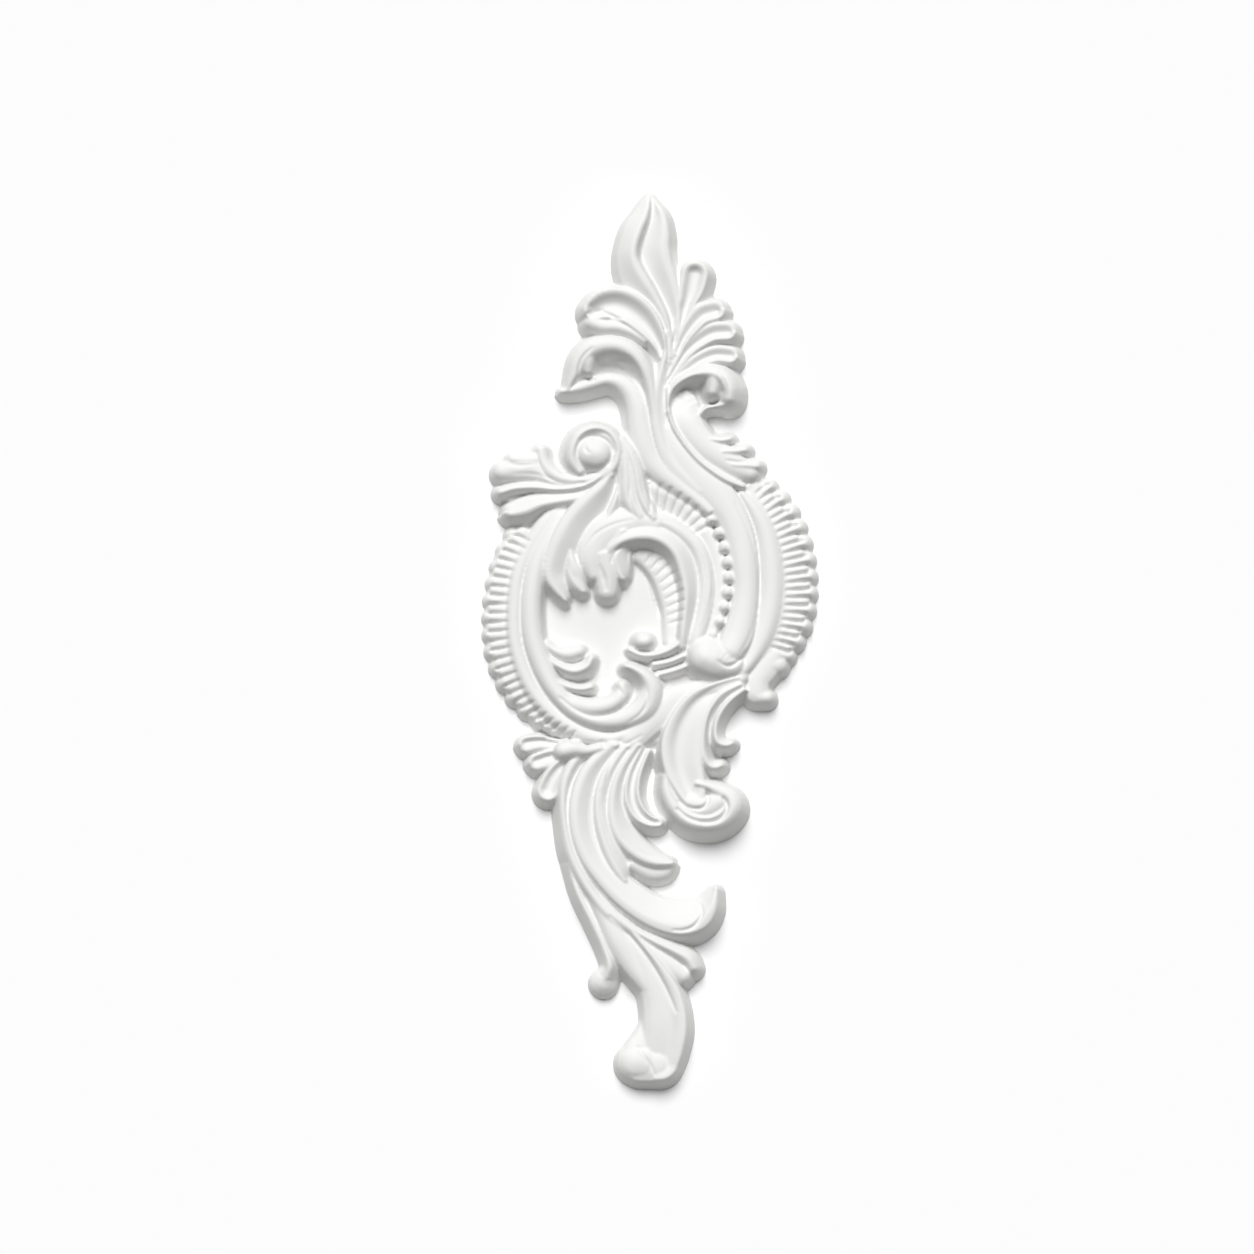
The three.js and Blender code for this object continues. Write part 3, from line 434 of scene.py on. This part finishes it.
# Fine veins: half width, depth, path.
veins = [
    (2.4, 3.0, [[592, 347], [583, 356], [579, 366], [577, 378], [571, 389]]),      # left leaf
    (2.4, 6.0, [[603, 311], [612, 315], [622, 318]]),
    (1.6, 1.4, [[601, 378], [608, 375], [615, 378]]),
    (2.0, 2.4, [[718, 372], [724, 379], [728, 388]]),                              # right curl
    (1.8, 1.8, [[736, 374], [740, 384], [740, 395]]),
    (3.0, 4.0, [[579, 441], [586, 434], [597, 431], [607, 434], [613, 442], [615, 452]]),      # volute
    (1.6, 1.4, [[577, 443], [575, 456], [579, 469]]),
    (1.8, 2.2, [[585, 445], [586, 450], [590, 453]]),
    (2.0, 2.2, [[622, 452], [620, 480], [618, 500], [621, 516]]),                  # drop leaf
    (1.8, 2.0, [[628, 458], [630, 480], [630, 500], [636, 517]]),
    (1.8, 2.0, [[634, 452], [640, 475], [643, 492], [650, 508], [658, 520]]),
    (1.7, 2.2, [[567, 562], [574, 577], [583, 590]]),                              # drips
    (1.7, 2.2, [[571, 563], [577, 576], [585, 588]]),
    (3.5, 2.2, [[600, 566], [604, 578], [606, 590]]),
    (2.0, 2.8, [[727, 460], [740, 462], [757, 461]]),                              # right frond
    (2.0, 2.4, [[728, 440], [734, 445]]),
    (2.0, 2.4, [[742, 452], [750, 453]]),
    (1.6, 1.8, [[660, 519], [681, 526], [696, 543], [704, 566], [707, 592], [703, 618]]),
    (1.6, 1.5, [[712, 560], [713, 586], [708, 610], [700, 630]]),
    (1.8, 1.6, [[644, 636], [647, 638]]),
    (2.4, 4.4, [[718, 660], [724, 665], [732, 665], [740, 659], [746, 650]]),
    (2.0, 2.6, [[616, 686], [623, 694], [625, 706]]),                              # scroll
    (2.4, 4.5, [[678, 801], [687, 806], [697, 808], [704, 806], [708, 800], [707, 793]]),
    (3.2, 7.0, [[677, 808], [688, 817], [703, 821], [717, 819], [725, 812], [727, 804], [723, 797]]),
    (1.8, 2.2, [[642, 735], [621, 748], [610, 765], [605, 783]]),                  # tail
    (1.6, 1.5, [[600, 790], [600, 812], [605, 832], [613, 852], [621, 867]]),
    (1.6, 1.5, [[619, 782], [621, 802], [627, 818], [634, 830]]),
    (1.6, 1.2, [[590, 795], [588, 822], [597, 850], [612, 872]]),
    (1.8, 2.2, [[622, 836], [639, 850], [654, 857], [667, 860]]),
    (2.2, 3.6, [[673, 929], [682, 929], [692, 926], [699, 919], [702, 911], [700, 903]]),
    (3.2, 3.4, [[610, 915], [628, 932], [645, 952], [660, 976], [670, 996], [676, 1010]]),
    (2.2, 2.4, [[637, 1044], [643, 1053], [650, 1063], [656, 1075]]),
    (2.0, 2.6, [[536, 452], [538, 463], [545, 474], [556, 481], [570, 484], [586, 483]]),  # left fronds
    (1.8, 1.8, [[508, 464], [520, 465], [534, 464]]),
    (1.8, 1.6, [[512, 474], [526, 473], [540, 475], [552, 480]]),
    (1.8, 1.6, [[516, 507], [532, 503], [550, 499], [570, 496]]),
    (1.8, 2.2, [[735, 503], [746, 525], [754, 548], [758, 572], [758, 598], [755, 620], [748, 640],
                [738, 656]]),                                                      # ring
    (2.0, 3.0, [[611, 563], [616, 551], [626, 543], [640, 540]]),                  # under the C scroll
    (1.8, 2.8, [[627, 562], [628, 552], [634, 546], [644, 544]]),
    (2.4, 3.6, [[560, 697], [575, 709], [592, 716], [608, 715], [621, 708], [629, 697]]),   # nested leaf
    (1.8, 2.4, [[648, 690], [647, 703], [640, 714], [628, 722]]),
    (3.0, 4.0, [[592, 315], [597, 311], [602, 309]]),                              # folds in deep shade
    (4.0, 6.0, [[600, 363], [612, 357], [626, 358], [636, 367], [641, 379]]),
    (3.4, 7.0, [[584, 374], [588, 378], [594, 379]]),
    (3.4, 6.0, [[682, 391], [688, 382], [697, 379], [705, 385]]),
    (2.8, 9.0, [[708, 400], [713, 402], [718, 400]]),
    (1.7, 1.6, [[583, 566], [586, 548], [597, 533], [614, 524], [634, 519]]),      # root of the C scroll
    (3.0, 8.0, [[536, 726], [549, 735], [563, 738]]),                              # gap above the palmette
    (2.8, 8.0, [[570, 740], [582, 743], [594, 743], [604, 741]]),
]


def mix(a, b, t):
    return a + (b - a) * t


def clamp(value, low, high):
    return max(low, min(high, value))


def curveAt(points, t):
    # a smooth curve through every point, t from 0 to 1
    place = clamp(t, 0, 1) * (len(points) - 1)
    i = min(int(place), len(points) - 2)
    f = place - i
    p0, p1, p2, p3 = (points[clamp(k, 0, len(points) - 1)] for k in (i - 1, i, i + 1, i + 2))
    return [0.5 * (2 * b + (c - a) * f + (2 * a - 5 * b + 4 * c - d) * f ** 2
                   + (3 * b - a - 3 * c + d) * f ** 3) for a, b, c, d in zip(p0, p1, p2, p3)]


def stationsAlong(points, step):
    length = sum(math.dist(a[:2], b[:2]) for a, b in zip(points, points[1:]))
    count = max(2, math.ceil(length / step) + 1)
    return [curveAt(points, i / (count - 1)) for i in range(count)]


def evenPlaces(points, count):
    # places at even distances along a curve
    fine = stationsAlong(points, applique["fineStep"])
    run = [0]
    for a, b in zip(fine, fine[1:]):
        run.append(run[-1] + math.dist(a, b))
    places, i = [], 0
    for k in range(count):
        goal = run[-1] * k / (count - 1)
        while i < len(run) - 2 and run[i + 1] < goal:
            i += 1
        f = (goal - run[i]) / (run[i + 1] - run[i])
        places.append([mix(a, b, f) for a, b in zip(fine[i], fine[i + 1])])
    return places


class Relief:
    # heights in squares over a grid that lies flat in the sheet

    def __init__(self, low, high):
        self.cell = applique["gridCell"] / square
        self.left = sheet["middleX"] + (low.x - applique["gridMargin"]) / square
        self.top = sheet["middleY"] - (high.z + applique["gridMargin"]) / square
        self.columns = math.ceil((high.x - low.x + 2 * applique["gridMargin"]) / applique["gridCell"])
        self.rows = math.ceil((high.z - low.z + 2 * applique["gridMargin"]) / applique["gridCell"])
        self.floor = -applique["backSink"] / square
        self.heights = [[self.floor] * (self.columns + 1) for _ in range(self.rows + 1)]

    def near(self, x0, y0, x1, y1, reach):
        cols = range(max(0, math.ceil((min(x0, x1) - reach - self.left) / self.cell)),
                     min(self.columns, math.floor((max(x0, x1) + reach - self.left) / self.cell)) + 1)
        rows = range(max(0, math.ceil((min(y0, y1) - reach - self.top) / self.cell)),
                     min(self.rows, math.floor((max(y0, y1) + reach - self.top) / self.cell)) + 1)
        return rows, cols

    def lay(self, profileName, roundEnds, points):
        shares = [[share] for share in profiles[profileName]]
        steps = applique["profileSteps"]
        table = [curveAt(shares, i / steps)[0] for i in range(steps + 1)]
        middle = steps // 2
        draft, slope = applique["wallDraft"], sheet["viewSlope"] * upright
        perRise = 0.01 * applique["reliefDepth"] / square
        stations = stationsAlong(points, applique["spineStep"])
        best = {}
        last = len(stations) - 2
        for s in range(last + 1):
            (ax, ay, aHalf, aRise), (bx, by, bHalf, bRise) = stations[s], stations[s + 1]
            ay, by = ay * upright, by * upright
            dx, dy = bx - ax, by - ay
            long = math.hypot(dx, dy) or 1e-6
            dx, dy = dx / long, dy / long
            openStart = s == 0 and roundEnds not in ("start", "both")
            openEnd = s == last and roundEnds not in ("end", "both")
            high = max(aRise, bRise) * perRise
            reach = max(aHalf, bHalf) + draft * (high - self.floor) + applique["spare"]
            rows, cols = self.near(ax, ay, bx, by + slope * high, reach)
            for row in rows:
                gy = self.top + row * self.cell
                for col in cols:
                    gx = self.left + col * self.cell
                    shift = slope * aRise * perRise * table[middle]
                    for _ in range(2):      # the lean needs the height, and the height the lean
                        px, py = gx - ax, gy - shift - ay
                        along = px * dx + py * dy
                        t = clamp(along / long, 0, 1)
                        half, rise = mix(aHalf, bHalf, t), mix(aRise, bRise, t) * perRise
                        aside = px * dy - py * dx
                        over = max(along - long, -along, 0)
                        if over and not (openStart and along < 0) and not (openEnd and along > 0):
                            out = math.copysign(math.hypot(over, aside), aside)
                            over = 0
                        else:
                            out = aside
                        u = clamp(out / max(half, applique["leastHalf"]), -1, 1)
                        share = table[int((u + 1) * middle + 0.5)]
                        shift = slope * rise * share
                    outside = math.hypot(over, max(abs(out) - half, 0))
                    rank = outside if outside > 0 else abs(out) - half
                    key = (row, col)
                    if key not in best or rank < best[key][0]:
                        f = (u + 1) * middle
                        i = min(int(f), steps - 1)
                        best[key] = (rank, rise * mix(table[i], table[i + 1], f - i) - outside / draft)
        for (row, col), (_, height) in best.items():
            if height > self.heights[row][col]:
                self.heights[row][col] = height

    def seen(self, row, col):
        # where this grid point shows on the sheet
        height = self.heights[row][col]
        return (self.left + col * self.cell,
                (self.top + row * self.cell - sheet["viewSlope"] * upright * max(height, 0)) / upright)

    def cut(self, half, depth, stations, startSize, endSize):
        # a groove along a path, full size in the middle
        deepest = {}
        pairs = list(zip(stations, stations[1:]))
        for s, ((ax, ay), (bx, by)) in enumerate(pairs):
            dx, dy = bx - ax, by - ay
            long = math.hypot(dx, dy) or 1e-6
            rows, cols = self.near(ax, ay * upright, bx, by * upright + applique["tallestShift"],
                                   half + applique["spare"])
            for row in rows:
                for col in cols:
                    x, y = self.seen(row, col)
                    t = clamp(((x - ax) * dx + (y - ay) * dy) / long ** 2, 0, 1)
                    run = 2 * (s + t) / len(pairs)
                    size = mix(startSize, 1, run) if run < 1 else mix(1, endSize, run - 1)
                    away = math.hypot(x - ax - dx * t, y - ay - dy * t) / (half * size)
                    if away < 1:
                        deep = depth * size * (1 - away ** grooves["roundness"])
                        key = (row, col)
                        deepest[key] = max(deepest.get(key, 0), deep)
        for (row, col), deep in deepest.items():
            self.heights[row][col] -= deep

    def bead(self, x, y, radius, rise):
        base = rise * 0.01 * applique["reliefDepth"] / square
        rows, cols = self.near(x, y * upright, x, y * upright + applique["tallestShift"],
                               radius + applique["spare"])
        for row in rows:
            for col in cols:
                sx, sy = self.seen(row, col)
                away = math.hypot(sx - x, sy - y)
                if away < radius:
                    crown = base + pearls["bulge"] * math.sqrt(radius ** 2 - away ** 2)
                    self.heights[row][col] = max(self.heights[row][col], crown)


relief = Relief(*loadedBox)
for sweeps in strokes.values():
    for profileName, roundEnds, points in sweeps:
        relief.lay(profileName, roundEnds, points)
for rim in rimLobes:
    for (ax, ay), (bx, by) in zip(evenPlaces(rim["inner"], rim["count"]),
                                  evenPlaces(rim["tips"], rim["count"])):
        back = rim["half"] / math.hypot(bx - ax, by - ay)
        relief.lay("dome", "end", [[ax, ay, rim["half"], rim["rise"]],
                                   [mix(bx, ax, back), mix(by, ay, back), rim["half"], rim["rise"]]])
print("strokes laid:", sum(len(sweeps) for sweeps in strokes.values()))

for row in flutes:
    for a, b in zip(evenPlaces(row["inner"], row["count"]), evenPlaces(row["outer"], row["count"])):
        relief.cut(row["half"], row["depth"], [a, b], grooves["fluteStart"], grooves["fluteEnd"])
for i, (x, y) in enumerate(evenPlaces(pearls["line"], pearls["count"])):
    bulge = math.sin(math.pi * i / (pearls["count"] - 1))
    relief.bead(x, y, mix(pearls["endRadius"], pearls["radius"], bulge), pearls["rise"])
for half, depth, path in veins:
    relief.cut(half, depth, stationsAlong(path, applique["spineStep"]),
               grooves["veinEnds"], grooves["veinEnds"])
print("flutes, pearls and veins cut")


def placeMesh(bm, name):
    mesh = bpy.data.meshes.new(name)
    bm.to_mesh(mesh)
    bm.free()
    item = bpy.data.objects.new(name, mesh)
    bpy.context.collection.objects.link(item)
    return item


def buildApplique():
    bm = bmesh.new()
    wide, tall = relief.columns * applique["gridCell"], relief.rows * applique["gridCell"]
    corner = Vector(((relief.left - sheet["middleX"]) * square, 0,
                     (sheet["middleY"] * upright - relief.top) * square))
    centre = corner + Vector((wide / 2, 0, -tall / 2))
    lie = Matrix.Translation(centre) @ Matrix.Rotation(math.radians(90), 4, "X") @ Matrix.Diagonal(
        (wide, tall, 1, 1))
    bmesh.ops.create_grid(bm, x_segments=relief.columns, y_segments=relief.rows, size=0.5, matrix=lie)
    for vert in bm.verts:
        col = round((vert.co.x - corner.x) / applique["gridCell"])
        row = round((corner.z - vert.co.z) / applique["gridCell"])
        vert.co.y = -relief.heights[row][col] * square
    for _ in range(applique["smoothRounds"]):
        bmesh.ops.smooth_vert(bm, verts=bm.verts, factor=applique["smoothFactor"],
                              use_axis_x=True, use_axis_y=True, use_axis_z=True)
    bmesh.ops.bisect_plane(bm, geom=bm.verts[:] + bm.edges[:] + bm.faces[:], plane_co=(0, 0, 0),
                           plane_no=(0, 1, 0), clear_outer=True)
    rim = [edge for edge in bm.edges if edge.is_boundary]
    for edge in rim:
        edge.smooth = False
    bmesh.ops.triangle_fill(bm, use_beauty=True, use_dissolve=False, edges=rim, normal=(0, 1, 0))
    bmesh.ops.recalc_face_normals(bm, faces=bm.faces)
    for face in bm.faces:
        face.smooth = True
    return placeMesh(bm, "appliqueCasting")


casting = buildApplique()
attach(casting, "root")
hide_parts("rocaille_applique")
casting.data.calc_loop_triangles()
print("casting modelled:", len(casting.data.loop_triangles), "triangles")


def linearColour(hexColour):
    channels = [int(hexColour[i:i + 2], 16) / 255 for i in (1, 3, 5)]
    return [c / 12.92 if c <= 0.04045 else ((c + 0.055) / 1.055) ** 2.4 for c in channels] + [1]


def addNode(tree, kind, settings=None, inputs=None, links=None):
    node = tree.nodes.new(kind)
    for name, value in (settings or {}).items():
        setattr(node, name, value)
    for name, value in (inputs or {}).items():
        node.inputs[name].default_value = value
    for name, source in (links or {}).items():
        tree.links.new(source, node.inputs[name])
    return node


def newMaterial(name):
    material = bpy.data.materials.new(name)
    material.use_nodes = True
    material.node_tree.nodes.clear()
    return material, material.node_tree


primer = {
    "high": "#E7E7E6",
    "low": "#E1E1DF",
    "roughness": 0.58,
    "ior": 1.46,
    "patchSize": 0.060,        # faint cloudiness of a sprayed coat
    "orangePeel": 0.0022,      # spray texture, drawn a little coarser than the real 1 mm to show
    "peelHeight": 0.00004,
    "peelStrength": 0.25,
}


def primedFoam():
    # moulded hard polyurethane foam, primed white: dead even, matt, with a soft spray texture
    material, tree = newMaterial("primedPolyurethane")
    place = addNode(tree, "ShaderNodeTexCoord").outputs["Object"]
    cloud = addNode(tree, "ShaderNodeTexNoise", inputs={"Scale": 1 / primer["patchSize"], "Detail": 3},
                    links={"Vector": place})
    colour = addNode(tree, "ShaderNodeMix", {"data_type": "RGBA"}, links={"Factor": cloud.outputs["Fac"]})
    colour.inputs["A"].default_value = linearColour(primer["low"])
    colour.inputs["B"].default_value = linearColour(primer["high"])
    peel = addNode(tree, "ShaderNodeTexNoise", inputs={"Scale": 1 / primer["orangePeel"], "Detail": 2},
                   links={"Vector": place})
    bump = addNode(tree, "ShaderNodeBump", links={"Height": peel.outputs["Fac"]},
                   inputs={"Strength": primer["peelStrength"], "Distance": primer["peelHeight"]})
    body = addNode(tree, "ShaderNodeBsdfPrincipled",
                   inputs={"Roughness": primer["roughness"], "IOR": primer["ior"]},
                   links={"Base Color": colour.outputs["Result"], "Normal": bump.outputs["Normal"]})
    addNode(tree, "ShaderNodeOutputMaterial", links={"Surface": body.outputs["BSDF"]})
    return material


casting.data.materials.append(primedFoam())
print("finish applied")

wall = {"width": 3.0, "height": 3.0, "gap": 0.0002, "colour": "#F7F7F7", "roughness": 0.9}


def buildWall():
    bm = bmesh.new()
    lie = Matrix.Translation((0, wall["gap"], 0)) @ Matrix.Rotation(math.radians(90), 4, "X") @ (
        Matrix.Diagonal((wall["width"], wall["height"], 1, 1)))
    bmesh.ops.create_grid(bm, x_segments=1, y_segments=1, size=0.5, matrix=lie)
    panel = placeMesh(bm, "paleWall")
    material, tree = newMaterial("wallEmulsion")
    # matt white emulsion: flat, a touch brighter than the casting
    body = addNode(tree, "ShaderNodeBsdfPrincipled", inputs={
        "Base Color": linearColour(wall["colour"]), "Roughness": wall["roughness"]})
    addNode(tree, "ShaderNodeOutputMaterial", links={"Surface": body.outputs["BSDF"]})
    panel.data.materials.append(material)
    return panel


buildWall()

lighting = {
    "softbox": {"from": (-0.06, -1.0, 0.66), "spread": 38, "strength": 3.42},
    "ambient": 0.14,
}


def lookAt(item, target):
    item.rotation_euler = (Vector(target) - item.location).to_track_quat("-Z", "Y").to_euler()


def lightStudio():
    # a broad soft source high in front, so even that the wall stays one tone
    data = bpy.data.lights.new("softboxAbove", "SUN")
    data.angle = math.radians(lighting["softbox"]["spread"])
    data.energy = lighting["softbox"]["strength"]
    key = bpy.data.objects.new("softboxAbove", data)
    key.location = lighting["softbox"]["from"]
    lookAt(key, (0, 0, 0))
    bpy.context.collection.objects.link(key)
    world = bpy.data.worlds.new("evenStudio")
    bpy.context.scene.world = world
    world.use_nodes = True
    backdrop = world.node_tree.nodes["Background"]
    backdrop.inputs["Color"].default_value = (1, 1, 1, 1)
    backdrop.inputs["Strength"].default_value = lighting["ambient"]


lightStudio()
print("wall and lights in place")

shot = {"pixelsWide": 1254, "lens": 500, "sensor": 36, "reliefMiddle": 0.010}


def placeCamera():
    data = bpy.data.cameras.new("straightOn")
    data.lens, data.sensor_width = shot["lens"], shot["sensor"]
    camera = bpy.data.objects.new("straightOn", data)
    middle = shot["pixelsWide"] / 2
    target = Vector(((middle - sheet["middleX"]) * square, -shot["reliefMiddle"],
                     (sheet["middleY"] - middle) * square * upright
                     - sheet["viewSlope"] * shot["reliefMiddle"]))
    distance = shot["pixelsWide"] * square * data.lens / data.sensor_width
    below = math.atan(sheet["viewSlope"])
    camera.location = target + Vector((0, -math.cos(below), -math.sin(below))) * distance
    lookAt(camera, target)
    bpy.context.collection.objects.link(camera)
    bpy.context.scene.camera = camera


placeCamera()
bpy.context.scene.view_settings.view_transform = "Standard"
print("camera placed")

bpy.context.view_layer.update()
